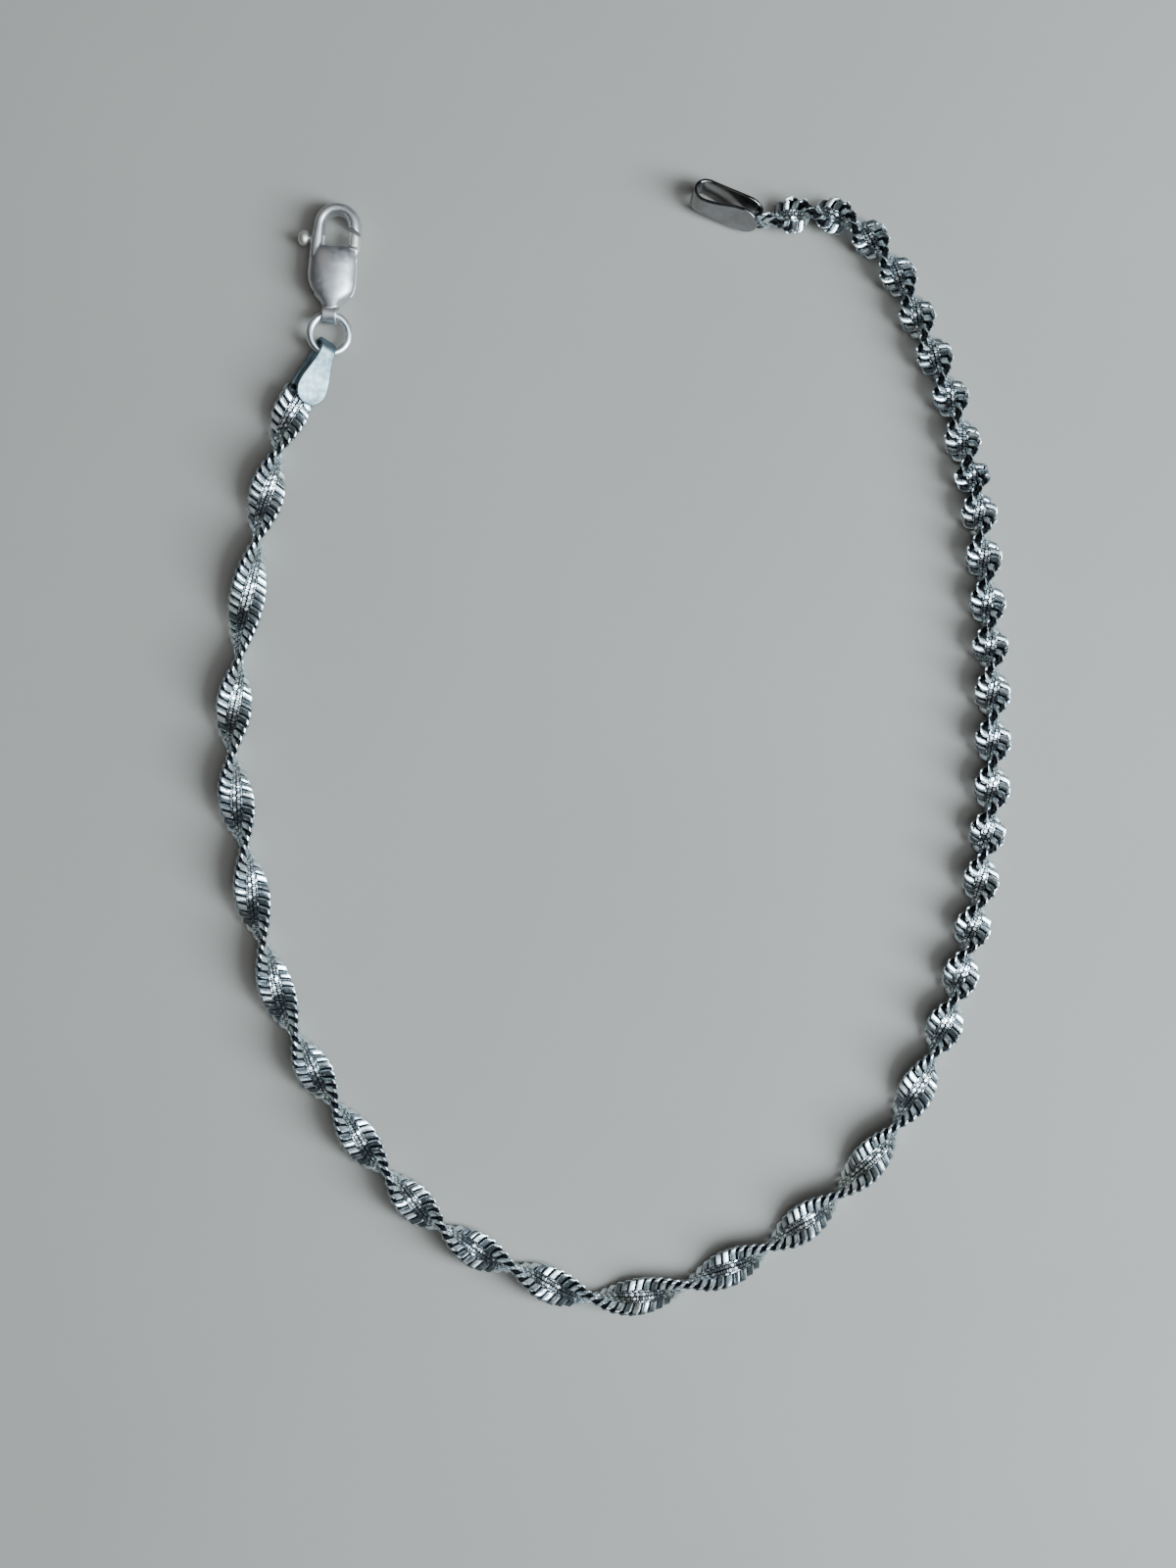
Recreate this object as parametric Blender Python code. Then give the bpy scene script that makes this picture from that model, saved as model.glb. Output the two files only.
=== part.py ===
"""Herringbone chain bracelet, lying open on a table.

A flat herringbone chain, twisted along its length like a ribbon, runs in an open loop from a
lobster clasp with its jump ring and folded tag to a folded end loop.

Frame: metres, +Z up, the table is z = 0, the origin is below the middle of the whole bracelet.
The clasp is at the upper left, the end loop at the upper right, both towards +Y.
"""
import math

import bmesh
import bpy
import numpy as np
from mathutils import Matrix, Vector

MM = 0.001

# Laying out: the route was read on the photograph, in its pixels, and these sizes turn a pixel
# into a place on the table.
PIXEL = 0.0673 * MM
PHOTO_MIDDLE_PX = (600, 800)
ORIGIN_PX = (625.5, 763.2)
CAMERA_HEIGHT = 162 * MM

# The chain as a twisted band: every link is a ridge across it.
BAND_WIDTH = 2.55 * MM
BAND_THICKNESS = 0.60 * MM
BAND_EDGE = 0.22 * MM
LINK_PITCH = 0.53 * MM
NOTCH_DEPTH = 0.11 * MM
GROOVE_DEPTH = 0.07 * MM
TABLE_CLEARANCE = 0.01 * MM

# Route of the chain on the photograph: columns are x px, y px and turn of the band in degrees.
# At turn 0 the band lies flat, and at 90 it stands on its edge.
LEAVING_TAG = [
    (310.5, 396.5, -31),
    (300, 414, -27),
]
# Between two neighbours of this list the band makes half a turn: it stands on edge at each.
STANDING_POINTS = [
    (282, 465), (262, 555), (243, 678), (237, 774), (250, 868), (269, 966), (303, 1060),
    (344, 1130), (398, 1201), (455, 1256), (528, 1296), (609, 1325), (706, 1309), (788, 1270),
    (858, 1216), (917, 1145), (954, 1072), (974, 1018), (987, 968), (998, 922), (1004, 870),
    (1011, 826), (1013, 777), (1013, 730), (1012, 679), (1009, 637), (1006, 590), (1001, 544),
    (996, 500), (987, 470), (976, 424), (962, 382), (943, 341), (927, 300), (901, 259),
    (869, 227), (826, 217), (786, 225),
]
ENTERING_LOOP = [(776, 225), (763, 219)]
LOOP_LEAN = 14.0
TURN_AT_FIRST_STANDING = 90.0
HALF_TURN = 180.0

# Folded straps: the tag that holds the ring, and the loop at the free end.
STRAP_THICKNESS = 0.25 * MM
STRAP_CHAMFER = 0.05 * MM
STRAP_CLEARANCE = 0.12 * MM
TAG_LENGTH = 3.80 * MM
TAG_WIDTH = 2.20 * MM
TAG_FOLD_WIDTH = 1.15 * MM
TAG_HOLD = 0.97 * MM
TAG_SHIFT = 0.30 * MM
TAG_DIRECTION = -111.5
LOOP_LENGTH = 4.02 * MM
LOOP_WIDTH = 2.30 * MM
LOOP_FOLD_WIDTH = 1.45 * MM
LOOP_GAP = 1.42 * MM
LOOP_HOLD = 0.90 * MM
LOOP_DIRECTION = -23.5

# Jump ring.
RING_OUTER = 3.16 * MM
RING_WIRE = 0.54 * MM
RING_TILT = 14.0
RING_DIP = 1.1
RING_CLEARANCE = 0.08 * MM
TAG_TO_RING_ANGLE = 71.0
RING_TO_CLASP_ANGLE = 88.5

# Lobster clasp: lengths run up from the middle of the ring's wire in the neck.
CLASP_ANGLE = -5.0
CLASP_THICKNESS = 2.20 * MM
CLASP_DOME = 1.10
BODY_SQUARENESS = 3.2
BODY_WIDTH = 3.40 * MM
BODY_START = 0.42 * MM
BODY_END = 4.55 * MM
NECK_WIDTH = 1.00 * MM
NECK_WALL = 0.20 * MM
SLOT_WIDTH = 0.90 * MM
SLOT_START = 1.30 * MM
SLOT_END = 5.45 * MM
HOOK_TOP = 7.54 * MM
HOOK_SPAN = 2.42 * MM
HOOK_ROOT = 3.90 * MM
HOOK_TIP = 5.74 * MM
HOOK_BAR = 0.62 * MM
HOOK_ROOT_BAR = 0.84 * MM
HOOK_TIP_BAR = 0.72 * MM
HOOK_DEPTH = 1.60 * MM
TIP_SLOPE = 0.50

# Lever with its gate and thumb knob, on a hidden pin.
PIVOT_UP = 3.35 * MM
PIN_DIAMETER = 0.60 * MM
PIN_CLEARANCE = 0.05 * MM
PIN_LENGTH = 1.50 * MM
LEVER_PLAY = 0.10 * MM
LEVER_BOSS = 1.34 * MM
LEVER_ARM = 0.50 * MM
GATE_WIDTH = 0.70 * MM
GATE_DEPTH = 1.20 * MM
GATE_GAP = 0.25 * MM
KNOB_WIDTH = 0.80 * MM
KNOB_LENGTH = 1.00 * MM
KNOB_OFFSET = 2.22 * MM
KNOB_UP = 5.04 * MM

# Body of the clasp: columns are place along the body, half width, shift to the right and half
# thickness. The place is a share of the body's length, the others of its half width and half
# thickness.
BODY_SECTIONS = [
    (0.00, 0.33, 0.00, 0.66),
    (0.06, 0.50, 0.02, 0.80),
    (0.16, 0.82, 0.04, 0.94),
    (0.32, 0.97, -0.02, 1.00),
    (0.55, 1.00, -0.05, 1.00),
    (0.75, 1.00, -0.05, 1.00),
    (0.89, 0.97, -0.05, 0.92),
    (0.97, 0.90, -0.05, 0.78),
    (1.00, 0.80, -0.05, 0.66),
]

BRACELET = "herringbone_chain_bracelet"
TOOLS = "cutters"
UP = Vector((0, 0, 1))


def clear_scene():
    for obj in list(bpy.data.objects):
        bpy.data.objects.remove(obj)
    for name in (BRACELET, TOOLS):
        collection = bpy.data.collections.new(name)
        bpy.context.scene.collection.children.link(collection)


def make_material(name, colour, roughness):
    material = bpy.data.materials.new(name)
    material.use_nodes = True
    shader = material.node_tree.nodes["Principled BSDF"]
    shader.inputs["Base Color"].default_value = (*colour, 1)
    shader.inputs["Metallic"].default_value = 1.0
    shader.inputs["Roughness"].default_value = roughness
    return material


def add_piece(name, mesh, material, collection=BRACELET):
    obj = bpy.data.objects.new(name, mesh)
    bpy.data.collections[collection].objects.link(obj)
    if material is not None:
        mesh.materials.append(material)
    return obj


def add_tool(name, mesh):
    """A shape that is joined to a piece or cut out of it, and isn't built by itself."""
    obj = add_piece(name, mesh, None, TOOLS)
    obj.hide_render = True
    obj.display_type = "WIRE"
    return obj


def add_frame(name, matrix, parent=None):
    """An empty that carries the pieces that are placed with it."""
    frame = bpy.data.objects.new(name, None)
    frame.empty_display_size = 1.0 * MM
    bpy.data.collections[BRACELET].objects.link(frame)
    frame.parent = parent
    frame.matrix_local = matrix
    return frame


def boolean(target, tool, operation):
    modifier = target.modifiers.new(tool.name, "BOOLEAN")
    modifier.operation = operation
    modifier.solver = "EXACT"
    modifier.object = tool


def loft(name, rings, smooth_angle=40.0):
    """Mesh through closed rings of equally many points, with a flat cap at each end."""
    rings = np.asarray(rings)
    count, sides = rings.shape[:2]
    mesh = bpy.data.meshes.new(name)
    ring, side = np.meshgrid(np.arange(count - 1), np.arange(sides), indexing="ij")
    after = (side + 1) % sides
    walls = np.stack([ring * sides + side, ring * sides + after,
                      (ring + 1) * sides + after, (ring + 1) * sides + side], axis=-1)
    faces = walls.reshape(-1, 4).tolist()
    faces.append(list(range(sides)))
    faces.append(list(range((count - 1) * sides, count * sides)))
    mesh.from_pydata(rings.reshape(-1, 3).tolist(), [], faces)
    work = bmesh.new()
    work.from_mesh(mesh)
    bmesh.ops.recalc_face_normals(work, faces=work.faces)
    work.to_mesh(mesh)
    work.free()
    mesh.shade_smooth()
    mesh.set_sharp_from_angle(angle=math.radians(smooth_angle))
    return mesh


def primitive(name, build):
    """Mesh of a bmesh primitive that build makes."""
    work = bmesh.new()
    build(work)
    mesh = bpy.data.meshes.new(name)
    work.to_mesh(mesh)
    work.free()
    mesh.shade_smooth()
    mesh.set_sharp_from_angle(angle=math.radians(40))
    return mesh


def cylinder(name, radius, length, matrix, sides=20):
    """Cylinder along the Z axis of matrix, about its origin."""
    return primitive(name, lambda work: bmesh.ops.create_cone(
        work, cap_ends=True, segments=sides, radius1=radius, radius2=radius,
        depth=length, matrix=matrix))


def on_table(x_px, y_px, height):
    """Place of a photographed point that lies at a height above the table."""
    nearer = (CAMERA_HEIGHT - height) / CAMERA_HEIGHT
    x = PHOTO_MIDDLE_PX[0] + (np.asarray(x_px) - PHOTO_MIDDLE_PX[0]) * nearer
    y = PHOTO_MIDDLE_PX[1] + (np.asarray(y_px) - PHOTO_MIDDLE_PX[1]) * nearer
    return (x - ORIGIN_PX[0]) * PIXEL, (ORIGIN_PX[1] - y) * PIXEL


def chain_height():
    return BAND_WIDTH / 2 + TABLE_CLEARANCE


def chain_route():
    """Even points along the middle of the chain, half a link apart, and the turn at each."""
    turns = TURN_AT_FIRST_STANDING + HALF_TURN * np.arange(len(STANDING_POINTS))
    last_turn = turns[-1] + LOOP_LEAN
    rows = LEAVING_TAG + [(x, y, turn) for (x, y), turn in zip(STANDING_POINTS, turns)]
    rows += [(x, y, last_turn) for x, y in ENTERING_LOOP]
    rows = np.array(rows, dtype=float)
    x, y = on_table(rows[:, 0], rows[:, 1], chain_height())
    knots = np.stack([x, y], axis=1)
    chord = np.concatenate([[0], np.cumsum(np.linalg.norm(np.diff(knots, axis=0), axis=1))])
    slope = np.gradient(knots, chord, axis=0)

    fine = np.linspace(0, chord[-1], 4000)
    span = np.clip(np.searchsorted(chord, fine, side="right") - 1, 0, len(chord) - 2)
    length = (chord[span + 1] - chord[span])[:, None]
    t = ((fine - chord[span])[:, None]) / length
    curve = ((2 * t**3 - 3 * t**2 + 1) * knots[span] + (t**3 - 2 * t**2 + t) * length * slope[span]
             + (3 * t**2 - 2 * t**3) * knots[span + 1] + (t**3 - t**2) * length * slope[span + 1])
    turn = np.interp(fine, chord, rows[:, 2])

    walked = np.concatenate([[0], np.cumsum(np.linalg.norm(np.diff(curve, axis=0), axis=1))])
    links = round(walked[-1] / LINK_PITCH)
    stations = np.linspace(0, walked[-1], 2 * links + 1)
    middle = np.stack([np.interp(stations, walked, curve[:, 0]),
                       np.interp(stations, walked, curve[:, 1]),
                       np.full(len(stations), chain_height())], axis=1)
    return middle, np.radians(np.interp(stations, walked, turn))


def band_axes(middle, turn):
    """Across and outward directions of the band at each point of its route."""
    along = np.gradient(middle, axis=0)
    along /= np.linalg.norm(along, axis=1)[:, None]
    left = np.stack([-along[:, 1], along[:, 0], np.zeros(len(along))], axis=1)
    up = np.array([0.0, 0.0, 1.0])
    cosine, sine = np.cos(turn)[:, None], np.sin(turn)[:, None]
    return cosine * left + sine * up, cosine * up - sine * left


def make_chain(middle, turn):
    """Twisted band with a crest for each link and a groove between neighbours."""
    across, outward = band_axes(middle, turn)
    crest = np.arange(len(middle)) % 2 == 1
    half_width = np.where(crest, BAND_WIDTH / 2, BAND_WIDTH / 2 - NOTCH_DEPTH)[:, None]
    half_depth = np.where(crest, BAND_THICKNESS / 2, BAND_THICKNESS / 2 - GROOVE_DEPTH)[:, None]
    shoulder = half_width - BAND_EDGE
    corners = [(half_width, 0 * half_depth), (shoulder, half_depth), (-shoulder, half_depth),
               (-half_width, 0 * half_depth), (-shoulder, -half_depth), (shoulder, -half_depth)]
    rings = np.stack([middle + a * across + b * outward for a, b in corners], axis=1)
    return add_piece("chain", loft("chain", rings, 20.0),
                     make_material("aged_silver", (0.55, 0.56, 0.54), 0.35))


def folded_strap(name, length, fold_width, width, fold_gap, end_gap):
    """Strap bent back on itself.

    The middle of its fold is the origin, both flaps run along +X to a round end, the gap
    between them opens along Y, and the strap's width is along Z.
    """
    radius = width / 2
    straight = length - radius
    places = np.concatenate([
        np.linspace(0, straight, 9)[:-1],
        straight + radius * np.sin(np.radians(np.linspace(0, 84, 8))),
    ])
    ease = np.clip(places / straight, 0, 1)
    ease = ease * ease * (3 - 2 * ease)
    half_width = fold_width / 2 + (radius - fold_width / 2) * ease
    rounded = np.sqrt(np.maximum(radius**2 - np.maximum(places - straight, 0)**2, 0))
    half_width = np.minimum(half_width, rounded)
    half_gap = (fold_gap + (end_gap - fold_gap) * ease + STRAP_THICKNESS) / 2

    bend = np.radians(np.linspace(90, 270, 11))[1:-1]
    fold = half_gap[0] * np.stack([np.cos(bend), np.sin(bend)], axis=1)
    upper = np.stack([places, half_gap], axis=1)[::-1]
    lower = np.stack([places, -half_gap], axis=1)
    path = np.concatenate([upper, fold, lower])
    halves = np.concatenate([half_width[::-1], np.full(len(fold), fold_width / 2), half_width])
    along = np.gradient(path, axis=0)
    along /= np.linalg.norm(along, axis=1)[:, None]
    normal = np.stack([-along[:, 1], along[:, 0]], axis=1)

    half = STRAP_THICKNESS / 2
    inner = half - STRAP_CHAMFER
    corners = [(half, 1), (inner, 0), (-inner, 0), (-half, 1),
               (-half, -1), (-inner, 0), (inner, 0), (half, -1)]
    signs = [1, 1, 1, 1, -1, -1, -1, -1]
    rings = []
    for (offset, cut), sign in zip(corners, signs):
        flat = path + offset * normal
        reach = halves - STRAP_CHAMFER * abs(cut)
        rings.append(np.column_stack([flat, sign * reach]))
    return loft(name, np.stack(rings, axis=1), 30.0)


def strap_matrix(origin, direction, width_axis):
    """Placing of a folded strap: X along direction, Z along its width."""
    x_axis = Vector(direction).normalized()
    z_axis = Vector(width_axis).normalized()
    y_axis = z_axis.cross(x_axis)
    matrix = Matrix((x_axis, y_axis, z_axis)).transposed().to_4x4()
    matrix.translation = origin
    return matrix


def level(angle):
    """Level unit vector at an angle in degrees from +X."""
    return Vector((math.cos(math.radians(angle)), math.sin(math.radians(angle)), 0))


def strap_width_axis(direction, turn):
    """Width direction of a strap whose level axis is direction, at the band's turn."""
    left = UP.cross(direction)
    return math.cos(turn) * left + math.sin(turn) * UP


def end_gap():
    return BAND_THICKNESS + 2 * STRAP_CLEARANCE


def ring_radius():
    return (RING_OUTER - RING_WIRE) / 2


def ring_turn():
    """Rotation of the level ring: tilted about the line to the clasp, and raised towards it."""
    raised = Matrix.Rotation(math.radians(RING_DIP), 4, level(RING_TO_CLASP_ANGLE - 90))
    return raised @ Matrix.Rotation(math.radians(RING_TILT), 4, level(RING_TO_CLASP_ANGLE))


def angle_to_wire(axis, ring_angle):
    """Angle between an axis and the ring's wire, where the ring stands at ring_angle."""
    wire = ring_turn() @ level(ring_angle + 90)
    angle = wire.angle(axis)
    return min(angle, math.pi - angle)


def ring_hole(bearing_width, angle_between):
    """Diameter of a hole that lets the curved ring wire through at an angle."""
    half = bearing_width / 2
    sag = half**2 / (2 * ring_radius())
    lift = half * math.tan(angle_between)
    return 2 * (math.hypot(sag, lift) + RING_WIRE / 2 + RING_CLEARANCE)


def make_tag(start, turn):
    """Tag folded round the ring, its flaps on both sides of the chain's first end."""
    direction = level(TAG_DIRECTION)
    width_axis = strap_width_axis(direction, turn)
    fold = Vector(start) - (TAG_LENGTH - TAG_HOLD) * direction + TAG_SHIFT * width_axis
    hole = ring_hole(TAG_FOLD_WIDTH, angle_to_wire(width_axis, TAG_TO_RING_ANGLE))
    mesh = folded_strap("clasp_tag", TAG_LENGTH, TAG_FOLD_WIDTH, TAG_WIDTH, hole, end_gap())
    tag = add_piece("clasp_tag", mesh, make_material("tag_silver", (0.80, 0.80, 0.79), 0.28))
    tag.matrix_world = strap_matrix(fold, direction, width_axis)
    return fold


def make_end_loop(end, turn):
    """Open loop at the free end, its flaps on both sides of the chain's last end."""
    outward = -level(LOOP_DIRECTION)
    fold = Vector(end) + (LOOP_LENGTH - LOOP_HOLD) * outward
    mesh = folded_strap("end_loop", LOOP_LENGTH, LOOP_FOLD_WIDTH, LOOP_WIDTH, LOOP_GAP, end_gap())
    loop = add_piece("end_loop", mesh, make_material("loop_silver", (0.72, 0.73, 0.74), 0.12))
    loop.matrix_world = strap_matrix(fold, -outward, strap_width_axis(outward, turn))


def make_ring(fold):
    """Closed jump ring through the tag's fold and the clasp's neck."""
    centre = fold + ring_radius() * (ring_turn() @ level(TAG_TO_RING_ANGLE))
    bpy.ops.mesh.primitive_torus_add(
        major_segments=36, minor_segments=8, location=centre,
        major_radius=ring_radius(), minor_radius=RING_WIRE / 2)
    ring = bpy.context.object
    for owner in list(ring.users_collection):
        owner.objects.unlink(ring)
    bpy.data.collections[BRACELET].objects.link(ring)
    ring.name = "jump_ring"
    ring.data.name = "jump_ring"
    ring.data.shade_smooth()
    ring.data.materials.append(make_material("ring_silver", (0.80, 0.80, 0.79), 0.25))
    ring.matrix_world = Matrix.Translation(centre) @ ring_turn()
    return centre + ring_radius() * (ring_turn() @ level(RING_TO_CLASP_ANGLE))


def oval(half_width, half_depth, sides, squareness=2.4, flat=1.0):
    """Points of a rounded section: across and through, cut flat at a share of its depth."""
    angle = 2 * np.pi * (np.arange(sides) + 0.5) / sides
    across = np.sign(np.cos(angle)) * np.abs(np.cos(angle))**(2 / squareness)
    through = np.sign(np.sin(angle)) * np.abs(np.sin(angle))**(2 / squareness)
    return half_width * across, np.clip(half_depth * through, -half_depth * flat, half_depth * flat)


def bar(name, path, widths, depths, middle, end_slope=0.0, sides=12):
    """Bar along a path in the clasp's plane, its end cut at a slope."""
    path = np.asarray(path)
    along = np.gradient(path, axis=0)
    along /= np.linalg.norm(along, axis=1)[:, None]
    normal = np.stack([-along[:, 1], along[:, 0]], axis=1)
    rings = []
    for index, point in enumerate(path):
        across, through = oval(widths[index] / 2, depths[index] / 2, sides)
        flat = point + across[:, None] * normal[index]
        if index == len(path) - 1:
            flat = flat + (across * end_slope)[:, None] * along[index]
        rings.append(np.column_stack([flat, middle + through]))
    return loft(name, np.stack(rings))


def hook_path():
    """Middle line of the hook, up from its root, round the top and down to the tip, and its width."""
    radius = HOOK_SPAN / 2
    top = HOOK_TOP - HOOK_BAR / 2 - radius
    rise = np.linspace(HOOK_ROOT, top, 4)[:-1]
    rise_widths = np.linspace(HOOK_ROOT_BAR, HOOK_BAR, 4)[:-1]
    turn = np.radians(np.linspace(180, 0, 13))
    over = np.stack([radius * np.cos(turn), top + radius * np.sin(turn)], axis=1)
    up = np.stack([-radius - (rise_widths - HOOK_BAR) / 2, rise], axis=1)
    path = np.concatenate([up, over, [(radius, HOOK_TIP)]])
    over_widths = np.linspace(HOOK_BAR, HOOK_TIP_BAR, len(over) + 1)
    return path, np.concatenate([rise_widths, over_widths])


def make_clasp_body(frame, neck_hole):
    """Hook, two cheeks with the lever's slot between them, and the neck round the ring."""
    middle = CLASP_THICKNESS / 2
    length = BODY_END - BODY_START
    rings = []
    for place, half_width, shift, half_depth in BODY_SECTIONS:
        across, through = oval(half_width * BODY_WIDTH / 2, half_depth * middle * CLASP_DOME, 24,
                               BODY_SQUARENESS, 1 / CLASP_DOME)
        across = across + shift * BODY_WIDTH / 2
        rings.append(np.column_stack([across, np.full(24, BODY_START + place * length),
                                      middle + through]))
    body = add_piece("clasp_body", loft("clasp_body", np.stack(rings)),
                     make_material("clasp_silver", (0.70, 0.69, 0.69), 0.32))

    slot_top = BODY_END + LEVER_PLAY
    outline = [(-BODY_WIDTH, SLOT_START), (BODY_WIDTH, SLOT_START), (BODY_WIDTH, slot_top),
               (-HOOK_SPAN / 4, slot_top), (-HOOK_SPAN / 4, SLOT_END), (-BODY_WIDTH, SLOT_END)]
    slot_faces = [[(*corner, middle + side * SLOT_WIDTH / 2) for corner in outline]
                  for side in (-1, 1)]
    slot = add_tool("slot_cutter", loft("slot_cutter", slot_faces))

    path, widths = hook_path()
    depths = np.full(len(path), HOOK_DEPTH)
    hook = add_tool("hook_form", bar("hook_form", path, widths, depths, middle, TIP_SLOPE))

    sideways = Matrix.Translation((0, 0, middle)) @ Matrix.Rotation(math.pi / 2, 4, "Y")
    neck = add_tool("neck_form", cylinder("neck_form", neck_hole / 2 + NECK_WALL, NECK_WIDTH,
                                          sideways, 24))
    bore = add_tool("neck_cutter", cylinder("neck_cutter", neck_hole / 2, 2 * NECK_WIDTH,
                                            sideways, 24))
    pivot = Matrix.Translation((0, PIVOT_UP, middle))
    socket = add_tool("pin_cutter", cylinder("pin_cutter", PIN_DIAMETER / 2 + PIN_CLEARANCE,
                                             PIN_LENGTH + 2 * PIN_CLEARANCE, pivot, 16))
    boolean(body, hook, "UNION")
    boolean(body, slot, "DIFFERENCE")
    boolean(body, neck, "UNION")
    boolean(body, bore, "DIFFERENCE")
    boolean(body, socket, "DIFFERENCE")
    for obj in (body, slot, hook, neck, bore, socket):
        obj.parent = frame


def make_lever(axis_frame):
    """Rocking lever about its pin: gate on the right, thumb knob on the left."""
    rise = KNOB_UP - PIVOT_UP
    gate_side = (HOOK_SPAN + HOOK_TIP_BAR - GATE_WIDTH) / 2
    gate_top = HOOK_TIP - GATE_GAP - PIVOT_UP
    shoulder = BODY_END - PIVOT_UP
    flat = SLOT_WIDTH - 2 * LEVER_PLAY
    # Columns: to the right, up, width, depth.
    stations = np.array([
        (-KNOB_OFFSET, rise, LEVER_ARM, flat),
        (-0.84 * KNOB_OFFSET, rise, LEVER_ARM, flat),
        (-0.68 * KNOB_OFFSET, 0.92 * rise, LEVER_ARM, flat),
        (-0.56 * KNOB_OFFSET, 0.67 * rise, LEVER_ARM, flat),
        (-0.33 * KNOB_OFFSET, 0.27 * rise, 0.6 * LEVER_BOSS, flat),
        (0, 0, LEVER_BOSS, flat),
        (0.48 * gate_side, 0.25 * shoulder, 0.7 * LEVER_BOSS, flat),
        (0.86 * gate_side, 0.66 * shoulder, GATE_WIDTH, flat),
        (gate_side, shoulder, GATE_WIDTH, flat),
        (gate_side, shoulder + 0.10 * (gate_top - shoulder), GATE_WIDTH, GATE_DEPTH),
        (gate_side, gate_top, GATE_WIDTH, GATE_DEPTH),
    ])
    mesh = bar("clasp_lever", stations[:, :2], stations[:, 2], stations[:, 3], 0.0, TIP_SLOPE)
    lever = add_piece("clasp_lever", mesh, make_material("lever_silver", (0.74, 0.72, 0.68), 0.30))
    knob = add_tool("knob_form", primitive("knob_form", lambda work: bmesh.ops.create_uvsphere(
        work, u_segments=14, v_segments=10, radius=0.5, matrix=Matrix.LocRotScale(
            Vector((-KNOB_OFFSET, rise, 0)), None,
            Vector((KNOB_WIDTH, KNOB_LENGTH, KNOB_WIDTH))))))
    bore = add_tool("lever_bore_cutter", cylinder(
        "lever_bore_cutter", PIN_DIAMETER / 2 + PIN_CLEARANCE, PIN_LENGTH, Matrix(), 16))
    boolean(lever, knob, "UNION")
    boolean(lever, bore, "DIFFERENCE")
    pin = add_piece("lever_pin", cylinder("lever_pin", PIN_DIAMETER / 2, PIN_LENGTH, Matrix(), 16),
                    make_material("pin_silver", (0.60, 0.60, 0.60), 0.40))
    for obj in (lever, knob, bore, pin):
        obj.parent = axis_frame


def make_bracelet():
    clear_scene()
    middle, turn = chain_route()
    make_chain(middle, turn)
    fold = make_tag(middle[0], turn[0])
    make_end_loop(middle[-1], turn[-1])
    neck = make_ring(fold)
    clasp = add_frame("clasp_frame", Matrix.Translation((neck.x, neck.y, 0))
                      @ Matrix.Rotation(math.radians(CLASP_ANGLE), 4, "Z"))
    across_neck = Matrix.Rotation(math.radians(CLASP_ANGLE), 4, "Z") @ Vector((1, 0, 0))
    neck_angle = angle_to_wire(across_neck, RING_TO_CLASP_ANGLE)
    make_clasp_body(clasp, ring_hole(NECK_WIDTH, neck_angle))
    pivot = add_frame("lever_axis",
                      Matrix.Translation((0, PIVOT_UP, CLASP_THICKNESS / 2)), clasp)
    make_lever(pivot)
    bpy.context.view_layer.update()


make_bracelet()
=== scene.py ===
import math

import bpy
import numpy as np
from mathutils import Matrix, Vector


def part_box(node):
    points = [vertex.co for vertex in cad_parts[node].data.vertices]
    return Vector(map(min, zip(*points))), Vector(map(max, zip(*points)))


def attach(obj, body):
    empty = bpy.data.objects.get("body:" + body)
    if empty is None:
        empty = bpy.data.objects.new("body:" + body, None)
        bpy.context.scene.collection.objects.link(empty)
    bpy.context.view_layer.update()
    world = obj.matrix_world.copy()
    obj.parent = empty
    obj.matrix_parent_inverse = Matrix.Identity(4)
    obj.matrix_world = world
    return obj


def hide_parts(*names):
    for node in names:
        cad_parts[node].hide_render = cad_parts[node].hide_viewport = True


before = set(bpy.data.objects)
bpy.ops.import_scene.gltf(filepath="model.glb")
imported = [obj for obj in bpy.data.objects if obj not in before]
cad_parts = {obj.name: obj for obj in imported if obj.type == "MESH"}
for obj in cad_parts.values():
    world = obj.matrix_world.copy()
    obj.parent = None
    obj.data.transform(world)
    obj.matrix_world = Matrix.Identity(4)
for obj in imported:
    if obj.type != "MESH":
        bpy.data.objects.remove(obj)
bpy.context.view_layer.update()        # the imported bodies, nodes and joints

mm = 0.001
dice = np.random.default_rng(11)
print("frame loaded:", ", ".join(sorted(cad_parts)))


# Meshes

def hermite(x, knots, values):
    # Smooth curve through values at knots: each span is a cubic whose end slopes are the
    # differences of its neighbours.
    knots, values = np.asarray(knots, float), np.asarray(values, float)
    slope = np.gradient(values, knots, axis=0)
    span = np.clip(np.searchsorted(knots, x, side="right") - 1, 0, len(knots) - 2)
    length = knots[span + 1] - knots[span]
    t = (x - knots[span]) / length
    if values.ndim > 1:
        t, length = t[..., None], length[..., None]
    return ((2 * t**3 - 3 * t**2 + 1) * values[span] + (t**3 - 2 * t**2 + t) * length * slope[span]
            + (3 * t**2 - 2 * t**3) * values[span + 1] + (t**3 - t**2) * length * slope[span + 1])


def smoothStep(x):
    # 3x^2 - 2x^3 between 0 and 1.
    x = np.clip(x, 0, 1)
    return x * x * (3 - 2 * x)


def superCircle(angle, power):
    # Cosine and sine with their sizes raised to a power, so that the circle turns squarer.
    cosine, sine = np.cos(angle), np.sin(angle)
    return np.sign(cosine) * np.abs(cosine)**power, np.sign(sine) * np.abs(sine)**power


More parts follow.
